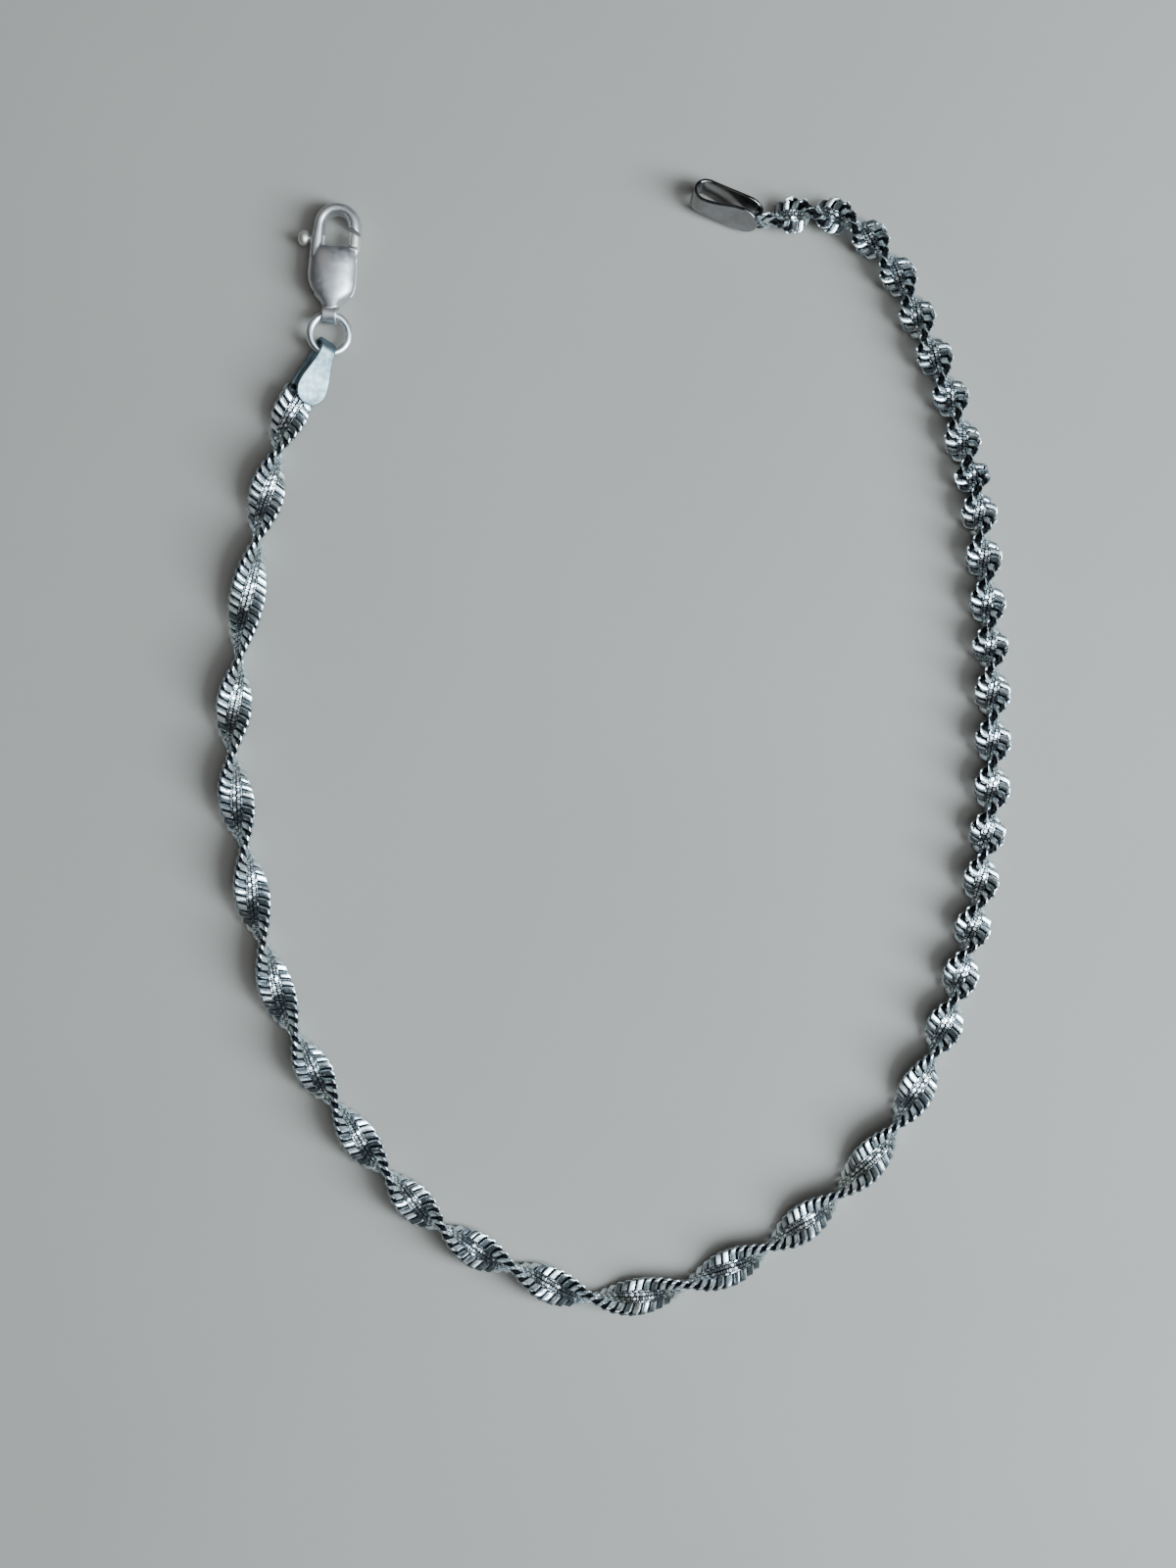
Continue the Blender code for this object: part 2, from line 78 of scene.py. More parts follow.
def tubeFaces(count, rings, sides):
    # Quads between neighbouring rings of count separate tubes, and one cap at each tube's ends.
    tube, ring, side = np.meshgrid(np.arange(count), np.arange(rings - 1), np.arange(sides),
                                   indexing="ij")
    first = (tube * rings + ring) * sides
    after = (side + 1) % sides
    quads = np.stack([first + side, first + after, first + sides + after, first + sides + side], -1)
    start = (np.arange(count) * rings * sides)[:, None]
    end = start + (rings - 1) * sides
    low = start + np.arange(sides)[::-1]
    high = end + np.arange(sides)
    return quads.reshape(-1, 4), np.concatenate([low, high])


def signedVolume(points, quads):
    # Six times the volume between the quads and the origin: a . (b x c) + a . (c x d) for each
    # quad abcd. It is negative where the surface is inside out.
    a, b, c, d = (points[quads[:, k]] for k in range(4))
    return float(np.einsum("ij,ij->", a, np.cross(b, c)) + np.einsum("ij,ij->", a, np.cross(c, d)))


def makeObject(name, points, faces, wearAndShade=None, sharp=None):
    # Smooth mesh object of these points and faces, with a wear-and-shade value at each point, low
    # where oxide and painted shade go, and with creases where two faces meet at more than the sharp
    # angle.
    mesh = bpy.data.meshes.new(name)
    mesh.from_pydata(points.tolist(), [], faces)
    mesh.validate()
    mesh.shade_smooth()
    if sharp is not None:
        mesh.set_sharp_from_angle(angle=math.radians(sharp))
    if wearAndShade is not None:
        layer = mesh.attributes.new("wearAndShade", "FLOAT", "POINT")
        layer.data.foreach_set("value", np.ascontiguousarray(wearAndShade, dtype=np.float32))
    obj = bpy.data.objects.new(name, mesh)
    bpy.context.scene.collection.objects.link(obj)
    return obj


def tubes(rings):
    # Closed tubes through rings[tube, ring, side], their faces turned round where the signed
    # volume is negative.
    count, ringCount, sides = rings.shape[:3]
    points = rings.reshape(-1, 3)
    quads, caps = tubeFaces(count, ringCount, sides)
    if signedVolume(points - points.mean(axis=0), quads) < 0:
        quads, caps = quads[:, ::-1], caps[:, ::-1]
    return points, quads, caps


def joined(name, groups, wearAndShade, sharp=None):
    # One object from several groups of tubes: each group's faces count on from the points
    # before it.
    points, faces, start = [], [], 0
    for groupPoints, quads, caps in groups:
        faces += (quads + start).tolist() + (caps + start).tolist()
        points.append(groupPoints)
        start += len(groupPoints)
    return makeObject(name, np.concatenate(points), faces, wearAndShade, sharp)


def dress(obj, material, body, slot, *nodes):
    # Gives a piece its material, the body it rides on and the CAD nodes that it replaces; its
    # material slot argument is not used.
    obj.data.materials.clear()
    obj.data.materials.append(material)
    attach(obj, body)
    if nodes:
        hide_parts(*nodes)
    return obj


# Materials

def newMaterial(name):
    # Empty material, with its node tree and its Principled shader.
    material = bpy.data.materials.new(name)
    material.use_nodes = True
    tree = material.node_tree
    return material, tree, tree.nodes["Principled BSDF"]


def node(tree, kind, inputs=None, **settings):
    # New shader node. An input that is a socket is linked, and any other value is set.
    made = tree.nodes.new(kind)
    for key, value in settings.items():
        setattr(made, key, value)
    for key, value in (inputs or {}).items():
        if isinstance(value, bpy.types.NodeSocket):
            tree.links.new(value, made.inputs[key])
        else:
            made.inputs[key].default_value = value
    return made


def noise(tree, coordinates, size, detail=3.0, stretch=(1, 1, 1), turn=(0, 0, 0)):
    # Cloudy pattern: noise of the turned and stretched coordinates over size, so that its
    # lumps are about size across.
    mapped = node(tree, "ShaderNodeMapping", {"Vector": coordinates, "Scale": stretch,
                                              "Rotation": turn})
    return node(tree, "ShaderNodeTexNoise", {"Vector": mapped.outputs[0], "Scale": 1 / size,
                                             "Detail": detail}).outputs["Fac"]


def remap(tree, value, low, high, toLow, toHigh):
    # Straight line from (low, toLow) to (high, toHigh), held at its ends.
    return node(tree, "ShaderNodeMapRange", {"Value": value, "From Min": low, "From Max": high,
                                             "To Min": toLow, "To Max": toHigh}).outputs[0]


def blendColour(tree, factor, first, second):
    # (1 - factor) x first + factor x second.
    made = node(tree, "ShaderNodeMix", data_type="RGBA")
    tree.links.new(factor, made.inputs[0])
    for index, colour in ((6, first), (7, second)):        # the two colour sockets
        if isinstance(colour, bpy.types.NodeSocket):
            tree.links.new(colour, made.inputs[index])
        else:
            made.inputs[index].default_value = (*colour, 1)
    return made.outputs[2]


def combine(tree, first, second, operation="MULTIPLY"):
    # first x second, or their sum where the operation is ADD.
    made = node(tree, "ShaderNodeMath", operation=operation)
    for index, value in enumerate((first, second)):
        if isinstance(value, bpy.types.NodeSocket):
            tree.links.new(value, made.inputs[index])
        else:
            made.inputs[index].default_value = value
    return made.outputs[0]


def silver(name, look):
    # Metal with cloudy tarnish, finer stains, fine scratches and small dents: the clean colour
    # blends to dull by the clouds and to dark by the stains, and the bump's height is the
    # scratches plus the dents.
    material, tree, shader = newMaterial(name)
    place = node(tree, "ShaderNodeTexCoord").outputs["Object"]
    cloud = noise(tree, place, look["cloud"], look["cloudDetail"])
    stain = noise(tree, place, look["stain"], look["stainDetail"])
    scratch = noise(tree, place, look["scratch"], look["scratchDetail"], look["stretch"],
                    look["turn"])
    cloudMask = remap(tree, cloud, *look["cloudRange"], 0.0, 1.0)
    stainMask = remap(tree, stain, *look["stainRange"], 0.0, look["stainAmount"])
    base = blendColour(tree, cloudMask, look["clean"], look["dull"])
    base = blendColour(tree, stainMask, base, look["dark"])
    shader.inputs["Metallic"].default_value = 1.0
    tree.links.new(base, shader.inputs["Base Color"])
    rough = remap(tree, cloud, *look["roughClouds"], look["roughLow"], look["roughHigh"])
    rough = combine(tree, rough, remap(tree, stain, *look["roughStains"]))
    tree.links.new(rough, shader.inputs["Roughness"])
    relief = combine(tree, combine(tree, scratch, look["scratchDepth"]),
                     combine(tree, stain, look["dentDepth"]), "ADD")
    bump = node(tree, "ShaderNodeBump", {"Height": relief, "Distance": look["reliefHeight"],
                                         "Strength": look["bump"]})
    tree.links.new(bump.outputs[0], shader.inputs["Normal"])
    return material


satinLook = dict(clean=(0.72, 0.72, 0.74), dull=(0.56, 0.54, 0.55), dark=(0.34, 0.31, 0.30),
                 cloud=1.6 * mm, cloudDetail=4.0, cloudRange=(0.38, 0.66),
                 stain=0.35 * mm, stainDetail=6.0, stainRange=(0.40, 0.72), stainAmount=0.25,
                 roughLow=0.38, roughHigh=0.50, roughClouds=(0.35, 0.70),
                 roughStains=(0.3, 0.8, 0.85, 1.25),       # from, to, and the factors there
                 scratch=0.05 * mm, scratchDetail=2.0, stretch=(1, 0.12, 1), turn=(0, 0, 0.25),
                 scratchDepth=0.5, dentDepth=0.6, reliefHeight=0.01 * mm, bump=0.35)
# The tag's colours are darker and bluer than the clasp's: a painted reflection of blue window light,
# toned down as its face is turned to the lamp.
tagReflectionLook = dict(satinLook, clean=(0.21, 0.275, 0.305), dull=(0.165, 0.22, 0.245),
                 dark=(0.11, 0.13, 0.14), roughLow=0.42, roughHigh=0.54, stainAmount=0.18)
ringFinish = dict(satinLook, clean=(0.86, 0.89, 0.90), dull=(0.76, 0.80, 0.81),
                  dark=(0.45, 0.46, 0.47), roughLow=0.30, roughHigh=0.42, stainAmount=0.18)
warmLook = dict(satinLook, clean=(0.84, 0.80, 0.74), dull=(0.74, 0.70, 0.64), roughLow=0.50,
                roughHigh=0.62)
# The end loop's dark colours are a painted reflection of dark surroundings; its low roughness is the
# polish.
polishedDarkReflectionLook = dict(satinLook, clean=(0.34, 0.34, 0.36), dull=(0.25, 0.235, 0.23),
                    dark=(0.14, 0.12, 0.11), roughLow=0.13, roughHigh=0.24, stainAmount=0.22,
                    bump=0.12)


def agedSilver(name, look):
    # Worn bright where the piece's wear-and-shade value is high, dark oxide with painted shade where
    # it is low; the bright colour's blue is a painted reflection. The mask is that value times the
    # patches plus the grain.
    material, tree, shader = newMaterial(name)
    place = node(tree, "ShaderNodeTexCoord").outputs["Object"]
    wearAndShade = node(tree, "ShaderNodeAttribute", attribute_name="wearAndShade").outputs["Fac"]
    patch = noise(tree, place, look["patch"], look["patchDetail"])
    grain = noise(tree, place, look["grain"], look["grainDetail"])
    wornAndShaded = combine(tree, wearAndShade, remap(tree, patch, *look["patchRange"], look["leastWear"], 1.0))
    wornAndShaded = combine(tree, wornAndShaded, remap(tree, grain, *look["grainRange"], -look["grainAmount"],
                                     look["grainAmount"]), "ADD")
    mask = remap(tree, wornAndShaded, *look["wearShadeRange"], 0.0, 1.0)
    tint = blendColour(tree, remap(tree, patch, *look["tintRange"], 0.0, 1.0), look["bright"],
                       look["warm"])
    tree.links.new(blendColour(tree, mask, look["oxideAndShade"], tint), shader.inputs["Base Color"])
    shader.inputs["Metallic"].default_value = 1.0
    rough = combine(tree, remap(tree, mask, 0.0, 1.0, look["roughOxide"], look["roughBright"]),
                    remap(tree, grain, *look["roughGrain"]))
    tree.links.new(rough, shader.inputs["Roughness"])
    bump = node(tree, "ShaderNodeBump", {"Height": grain, "Distance": look["reliefHeight"],
                                         "Strength": look["bump"]})
    tree.links.new(bump.outputs[0], shader.inputs["Normal"])
    return material


# Bright is tinted blue: a painted reflection of blue window light. The near-black oxide colour is
# oxide with painted shade in the gaps and the coil's inside.
agedLook = dict(bright=(0.76, 0.86, 0.92), warm=(0.66, 0.69, 0.66), oxideAndShade=(0.014, 0.014, 0.016),
                patch=2.4 * mm, patchDetail=3.0, patchRange=(0.30, 0.60), tintRange=(0.45, 0.75),
                grain=0.10 * mm, grainDetail=4.0, grainRange=(0.30, 0.70), grainAmount=0.16,
                leastWear=0.78, wearShadeRange=(0.25, 0.62), roughOxide=0.55, roughBright=0.29,
                roughGrain=(0.3, 0.7, 0.8, 1.3),           # from, to, and the factors there
                reliefHeight=0.02 * mm, bump=0.30)


# Chain

route = dict(
    pixel=0.0673 * mm, photoMiddle=(600, 800), origin=(625.5, 763.2), cameraHeight=162 * mm,
    leavingTag=[(310.5, 396.5, -31), (300, 414, -27)],
    # Each pair is a point of the photograph at which the band stands on its edge.
    standing=[
        (282, 465), (262, 555), (243, 678), (237, 774), (250, 868), (269, 966), (303, 1060),
        (344, 1130), (398, 1201), (455, 1256), (528, 1296), (609, 1325), (706, 1309), (788, 1270),
        (858, 1216), (917, 1145), (954, 1072), (974, 1018), (987, 968), (998, 922), (1004, 870),
        (1011, 826), (1013, 777), (1013, 730), (1012, 679), (1009, 637), (1006, 590), (1001, 544),
        (996, 500), (987, 470), (976, 424), (962, 382), (943, 341), (927, 300), (901, 259),
        (869, 227), (826, 217), (786, 225)],
    enteringLoop=[(776, 225), (763, 219)],
    firstTurn=90.0, halfTurn=180.0, loopLean=14.0, lift=0.01 * mm, samples=4000, calmReach=150)

band = dict(
    halfWidth=1.275 * mm, halfDepth=0.30 * mm, endGap=0.40 * mm, slant=0.416,
    twistRates=(32, 56))                                   # degrees per mm, slow and fast


def onTable(x, y, height):
    # World place of a photographed point at a height: the picture shrinks towards its middle.
    nearer = (route["cameraHeight"] - height) / route["cameraHeight"]
    px = route["photoMiddle"][0] + (x - route["photoMiddle"][0]) * nearer
    py = route["photoMiddle"][1] + (y - route["photoMiddle"][1]) * nearer
    return np.stack([px - route["origin"][0], route["origin"][1] - py], -1) * route["pixel"]


def chainCurve():
    # Middle line of the chain as a smooth curve through the route's points, with the distance
    # walked, the unit tangent and the band's turn at each sample.
    standing = np.array(route["standing"], float)
    turns = route["firstTurn"] + route["halfTurn"] * np.arange(len(standing))
    rows = np.concatenate([
        np.array(route["leavingTag"], float),
        np.column_stack([standing, turns]),
        [(x, y, turns[-1] + route["loopLean"]) for x, y in route["enteringLoop"]]])
    height = band["halfWidth"] + route["lift"]
    knots = onTable(rows[:, 0], rows[:, 1], height)
    chord = np.concatenate([[0], np.cumsum(np.linalg.norm(np.diff(knots, axis=0), axis=1))])
    fine = np.linspace(0, chord[-1], route["samples"])
    curve = hermite(fine, chord, knots)
    curve = np.column_stack([curve, np.full(len(curve), height)])
    walked = np.concatenate([[0], np.cumsum(np.linalg.norm(np.diff(curve, axis=0), axis=1))])
    along = np.gradient(curve, walked, axis=0)
    along /= np.linalg.norm(along, axis=1)[:, None]
    turn = np.radians(np.interp(fine, chord, rows[:, 2]))
    return walked, curve, along, turn


walked, curve, along, turn = chainCurve()
chainLength = walked[-1]


def onBand(s, a, b, ahead=0.0):
    # Place of a band point: middle line at distance s, plus a across the band and b out of its
    # face, where across and out turn round the line with the band's twist, plus ahead straight
    # along the line.
    inside = np.clip(s, 0, chainLength)
    ahead = np.broadcast_to(ahead, s.shape)
    middle = np.stack([np.interp(inside, walked, curve[:, k]) for k in range(3)], -1)
    forward = np.stack([np.interp(inside, walked, along[:, k]) for k in range(3)], -1)
    angle = np.interp(inside, walked, turn)
    left = np.stack([-forward[..., 1], forward[..., 0], np.zeros_like(angle)], -1)
    up = np.array([0.0, 0.0, 1.0])
    cosine, sine = np.cos(angle)[..., None], np.sin(angle)[..., None]
    across = cosine * left + sine * up
    out = cosine * up - sine * left
    straight = (s - inside + ahead)[..., None] * forward
    return middle + straight + a[..., None] * across + b[..., None] * out


def twistTightness():
    # 0 where the chain twists slowly, 1 where it twists fast: the turn per millimetre, averaged
    # over the neighbouring samples, between the band's two twist rates.
    rate = np.degrees(np.gradient(turn, walked)) * mm
    count = 2 * route["calmReach"] + 1
    calm = np.convolve(np.pad(rate, route["calmReach"], mode="edge"), np.full(count, 1 / count),
                       "valid")
    return np.interp(calm, band["twistRates"], (0, 1))


tightness = twistTightness()


def rowPlaces(spacing):
    # Distances of evenly spaced rows along the chain, clear of its ends.
    count = int((chainLength - 2 * band["endGap"]) / spacing)
    return band["endGap"] + spacing * (np.arange(count) + 0.5)


links = dict(
    pitch=0.53 * mm, width=0.47 * mm, depth=0.27 * mm, tipDepth=0.28 * mm,
    innerEnd=0.45 * mm, petalPlace=0.72 * mm, edgeStep=0.09 * mm, sunk=0.02 * mm,
    arc=(75, 54, 30, 10, -10, -30, -54, -75),              # degrees round the band's edge
    # Widths along half a link, from its inner end to the edge, where the twist is slow and fast.
    slowWidths=(0.92, 1.0, 1.0, 0.97, 0.93, 0.90), fastWidths=(0.86, 1.16, 1.14, 1.10, 1.06, 1.02),
    # Columns: along the chain, out of the coil, as shares of the width and the depth.
    profile=[(-0.5, 0.0), (-0.44, 0.34), (-0.32, 0.5), (0.32, 0.5), (0.44, 0.34), (0.5, 0.0),
             (0.40, -0.5), (-0.40, -0.5)],
    roll=0.06, rollLimit=0.16, lean=0.04, leanLimit=0.08, widthSpread=0.02,
    # The values by height are low on the undersides and sides: oxide with painted shade in the gaps
    # between links; the tops are worn bright.
    wearShadeHeights=(-0.5, 0.0, 0.34), wearShadeValues=(0.0, 0.36, 1.0), sideShadeLift=0.26, sharp=40)


def edgeLinks(side):
    # One edge's links: a flat-topped strip that starts on the front face, goes round the edge
    # and ends on the back, and slants so that each turn of the coil meets the next. Its profile
    # is carried along the path (across, through), x ahead and y out of the coil. Its width is
    # nearly even where the band twists slowly. Where it twists fast the links fan out, and each
    # is a petal, narrow at its two inner ends and widest just after them.
    reach, depth = band["halfWidth"], band["halfDepth"]
    bend, tip = depth - links["depth"] / 2, links["tipDepth"] - links["depth"] / 2
    arc = np.radians(links["arc"])
    flat = np.array([links["innerEnd"], links["petalPlace"]])
    flatRise = bend + (tip - bend) * (flat - flat[0]) / (reach - links["tipDepth"] - flat[0])
    across = np.concatenate([flat, reach - links["tipDepth"] + tip * np.cos(arc), flat[::-1]])
    through = np.concatenate([flatRise, tip * np.sin(arc), -flatRise[::-1]])
    tangent = np.gradient(np.stack([across, through], -1), axis=0)
    tangent /= np.linalg.norm(tangent, axis=1)[:, None]
    normal = np.stack([-tangent[:, 1], tangent[:, 0]], -1)      # points out of the coil
    face = np.clip(through / tip, -1, 1)
    shift = -side * face * (band["slant"] * (reach - across) + links["edgeStep"])
    places = rowPlaces(links["pitch"])
    count = len(places)
    tight = np.interp(places, walked, tightness)[:, None, None]
    slow = np.array(links["slowWidths"] + links["slowWidths"][::-1])[:, None]
    fast = np.array(links["fastWidths"] + links["fastWidths"][::-1])[:, None]
    widths = slow + (fast - slow) * tight

    profile = np.array(links["profile"])
    roll = np.clip(dice.normal(0, links["roll"], (count, 1, 1)),
                   -links["rollLimit"], links["rollLimit"])
    lean = np.clip(dice.normal(0, links["lean"], (count, 1, 1)),
                   -links["leanLimit"], links["leanLimit"])
    width = links["width"] * (1 + dice.normal(0, links["widthSpread"], (count, 1, 1)))
    x = width * profile[:, 0] * widths
    sunk = links["sunk"] + lean * (across[:, None] - reach + depth)
    y = links["depth"] * profile[:, 1] * slow + roll * x - np.maximum(sunk, 0)
    s, x = np.broadcast_arrays(places[:, None, None] + shift[:, None], x)
    a = side * (across[:, None] + y * normal[:, None, 0])
    b = through[:, None] + y * normal[:, None, 1]
    wearAndShade = np.interp(profile[:, 1], links["wearShadeHeights"], links["wearShadeValues"])
    wearAndShade = wearAndShade + links["sideShadeLift"] * tight * (profile[:, 1] == 0)     # fanned links show their sides, which get less painted shade
    wearAndShade = np.broadcast_to(wearAndShade, s.shape).reshape(-1)
    return tubes(onBand(s, a, b, x)), wearAndShade


cells = dict(
    columns=(-0.355 * mm, -0.150 * mm, 0.150 * mm, 0.355 * mm),
    widths=(0.060 * mm, 0.140 * mm, 0.140 * mm, 0.060 * mm), step=0.40 * mm,
    length=0.135 * mm, ridgeLength=0.042 * mm, depth=0.06 * mm, top=0.25 * mm, topShare=0.86,
    tilt=0.12, highest=1.4, spread=0.07, cornerPower=0.5, ridgeWear=0.62, wearAndShade=0.85,
    wearSpread=0.15, leastWear=0.4, sharp=25)


def middleCells(face):
    # Small flat-topped cells between the edges: rows of uneven squares with a thin ridge between
    # two rows, each tilted a little at random so that it catches the light by itself. A cell is
    # two rings, height = level x depth + tilt x place.
    corner = np.radians(30 + 60 * np.arange(6))
    square = np.stack([superCircle(corner, cells["cornerPower"])[0], np.sin(corner)], -1)
    levels = np.array([(1.0, -1.0), (cells["topShare"], 1.0)])      # columns: size, height
    places = rowPlaces(cells["step"] / 2)
    odd = (np.arange(len(places)) % 2)[:, None, None, None]
    columns = np.array(cells["columns"])
    shape = (len(places), len(columns))
    tiltAlong = dice.normal(0, cells["tilt"], shape)[..., None, None]
    tiltAcross = dice.normal(0, cells["tilt"], shape)[..., None, None]
    spread = (1 + dice.normal(0, cells["spread"], (*shape, 6)))[:, :, None]
    length = np.where(odd, cells["ridgeLength"], cells["length"])
    x = length * spread * levels[:, None, 0] * square[:, 0]
    y = np.array(cells["widths"])[:, None, None] * spread * levels[:, None, 0] * square[:, 1]
    z = cells["depth"] * levels[:, None, 1] + tiltAlong * x + tiltAcross * y
    s = (places[:, None] - face * band["slant"] * columns)[..., None, None]
    a = columns[:, None, None] + y
    b = face * (cells["top"] - cells["depth"] + np.minimum(z, cells["highest"] * cells["depth"]))
    s, a, b, x = np.broadcast_arrays(s, a, b, x)
    rings = onBand(s, a, b, x).reshape(-1, 2, 6, 3)
    top = np.where(odd[:, :, :, 0], cells["ridgeWear"],
                   np.clip(dice.normal(cells["wearAndShade"], cells["wearSpread"], (*shape, 1)),
                           cells["leastWear"], 1.0))
    # The bottom rings get zero: oxide with painted shade down the cells' sides.
    wearAndShade = np.array([0.0, 1.0])[:, None] * np.broadcast_to(top.reshape(-1, 1, 1), (len(rings), 2, 6))
    return tubes(rings), wearAndShade.reshape(-1)


core = dict(width=1.02 * mm, depth=0.16 * mm, start=0.45 * mm, sides=12, rings=700,
            cornerPower=0.5, endWearAndShade=0.8)


def chainCore():
    # Inside of the coil, painted near black as shade: a squarish circle, wide across the band and
    # thin through it, carried along the whole band.
    angle = np.linspace(0, 2 * np.pi, core["sides"], endpoint=False)
    x, y = superCircle(angle, core["cornerPower"])
    s = np.linspace(core["start"], chainLength - core["start"], core["rings"])[:, None]
    s, a, b = np.broadcast_arrays(s, core["width"] * x, core["depth"] * y)
    # Zero all along: painted shade; the two end rings, which show, are lifted.
    wearAndShade = np.zeros(s.shape)
    wearAndShade[[0, -1]] = core["endWearAndShade"]
    return tubes(onBand(s, a, b)[None]), wearAndShade.reshape(-1)


def chainPiece(name, made, sharp):
    # One piece of the chain from pairs of tubes and their wear-and-shade values.
    wearAndShade = np.concatenate([m[1] for m in made])
    obj = joined(name, [m[0] for m in made], wearAndShade, sharp)
    return dress(obj, aged, "bracelet", "aged_silver", "chain")


aged = agedSilver("aged_silver_chain", agedLook)
chainPiece("chain_edges", [edgeLinks(1), edgeLinks(-1)], links["sharp"])
chainPiece("chain_middle", [middleCells(1), middleCells(-1)], cells["sharp"])
chainPiece("chain_core", [chainCore()], None)
print("chain links made:", round(chainLength / mm, 1), "mm long")


# Folded straps

strap = dict(tipAngle=86, tipSteps=22, flapSteps=30, foldSteps=30, cornerSteps=5,
             leastCorner=0.02 * mm, sharp=50)


def foldedStrap(look):
    # Strap bent back on itself: its middle line runs up one flap, round the fold and down the
    # other; its section is a rounded rectangle whose width follows the outline of a drop.
    radius = look["width"] / 2
    straight = look["length"] - radius
    tip = np.sin(np.radians(np.linspace(0, strap["tipAngle"], strap["tipSteps"])))
    places = np.concatenate([np.linspace(0, straight, strap["flapSteps"])[:-1],
                             straight + radius * tip])
    ease = smoothStep(np.clip(places / straight, 0, 1))
    half = look["foldWidth"] / 2 + (radius - look["foldWidth"] / 2) * ease
    half = np.minimum(half, np.sqrt(np.maximum(radius**2 - np.maximum(places - straight, 0)**2, 0)))
    gapEase = smoothStep((places - look["wideFor"]) / (straight - look["wideFor"]))
    gap = look["foldGap"] + (look["endGap"] - look["foldGap"]) * gapEase
    offset = (gap + look["thickness"]) / 2
    bend = np.radians(np.linspace(90, 270, strap["foldSteps"]))[1:-1]
    fold = offset[0] * np.stack([np.cos(bend), np.sin(bend)], -1)
    upper = np.stack([places, offset], -1)[::-1]
    path = np.concatenate([upper, fold, np.stack([places, -offset], -1)])
    halves = np.concatenate([half[::-1], np.full(len(fold), look["foldWidth"] / 2), half])
    tangent = np.gradient(path, axis=0)
    tangent /= np.linalg.norm(tangent, axis=1)[:, None]
    normal = np.stack([-tangent[:, 1], tangent[:, 0]], -1)

    edge = look["edge"]
    fromTip = np.concatenate([look["length"] - places[::-1], np.full(len(fold), look["length"]),
                              look["length"] - places])
    thin = np.clip(edge - fromTip, 0, edge)
    thick = look["thickness"] / 2 - edge + np.sqrt(edge**2 - thin**2)
    angle = np.radians(np.linspace(0, 90, strap["cornerSteps"]))
    quarter = np.stack([np.cos(angle), np.sin(angle)], -1)      # from the side to the face
    section = np.concatenate([
        quarter, (quarter * [-1, 1])[::-1], -quarter, (quarter * [1, -1])[::-1]])
    signs = np.repeat([(1, 1), (-1, 1), (-1, -1), (1, -1)], strap["cornerSteps"], axis=0)
    cornerAcross = np.maximum(halves - edge, strap["leastCorner"])[:, None]
    cornerThrough = np.maximum(thick - edge, 0)[:, None]
    across = signs[:, 0] * cornerAcross + section[:, 0] * edge
    through = signs[:, 1] * cornerThrough + section[:, 1] * np.minimum(edge, thick)[:, None]
    flat = path[:, None, :] + through[..., None] * normal[:, None, :]
    skew = look["skew"] * (1 - smoothStep(flat[..., 0] / look["skewFor"]))
    flat = np.stack([flat[..., 0] - skew * across, flat[..., 1]], -1)
    return np.concatenate([flat, across[..., None]], -1)


def placed(points, origin, direction, widthAxis):
    # Local points carried into the world: X along direction, Z along the width axis.
    x = np.array(direction) / np.linalg.norm(direction)
    z = np.array(widthAxis) / np.linalg.norm(widthAxis)
    y = np.cross(z, x)
    return np.array(origin) + points @ np.stack([x, y, z])


def level(angle):
    # Level unit vector at an angle in degrees: (cosine, sine, 0).
    return np.array([math.cos(math.radians(angle)), math.sin(math.radians(angle)), 0.0])


def widthAxis(direction, turnDegrees):
    # The direction's left turned up round it: cosine x left + sine x up.
    left = np.array([-direction[1], direction[0], 0.0])
    angle = math.radians(turnDegrees)
    return math.cos(angle) * left + np.array([0, 0, math.sin(angle)])


tagLook = dict(length=3.80 * mm, width=2.20 * mm, foldWidth=1.15 * mm, thickness=0.25 * mm,
               edge=0.08 * mm, foldGap=1.141 * mm, endGap=0.84 * mm, wideFor=0.0,
               skew=-0.12, skewFor=2.0 * mm, hold=0.97 * mm, shift=0.30 * mm, direction=-111.5,
               turn=-31.0)
loopLook = dict(length=4.02 * mm, width=2.30 * mm, foldWidth=1.45 * mm, thickness=0.25 * mm,
                edge=0.08 * mm, foldGap=1.42 * mm, endGap=0.84 * mm, wideFor=0.0,
                skew=0.0, skewFor=1.0 * mm, hold=0.90 * mm, direction=-23.5, lean=10.0)

direction = level(tagLook["direction"])
acrossTag = widthAxis(direction, tagLook["turn"])
tagFold = (curve[0] - (tagLook["length"] - tagLook["hold"]) * direction
           + tagLook["shift"] * acrossTag)
tagPoints = placed(foldedStrap(tagLook), tagFold, direction, acrossTag)
dress(joined("tag", [tubes(tagPoints[None])], None, strap["sharp"]),
      silver("tag_silver", tagReflectionLook), "bracelet", "tag_silver", "clasp_tag")

outward = -level(loopLook["direction"])
loopFold = curve[-1] + (loopLook["length"] - loopLook["hold"]) * outward
loopPoints = placed(foldedStrap(loopLook), loopFold, -outward,
                    widthAxis(outward, math.degrees(turn[-1]) + loopLook["lean"]))
dress(joined("eye_loop", [tubes(loopPoints[None])], None, strap["sharp"]),
      silver("loop_silver", polishedDarkReflectionLook), "bracelet", "loop_silver", "end_loop")
print("tag and end loop made")


# Jump ring

ringLook = dict(radius=1.315 * mm, wire=0.285 * mm, tilt=14.0, rise=1.1, towardsClasp=88.5,
                around=120, sides=24)


def turnAbout(axis, degrees):
    # Rotation matrix by an angle round an axis through the origin.
    return np.array(Matrix.Rotation(math.radians(degrees), 3, Vector(axis)))


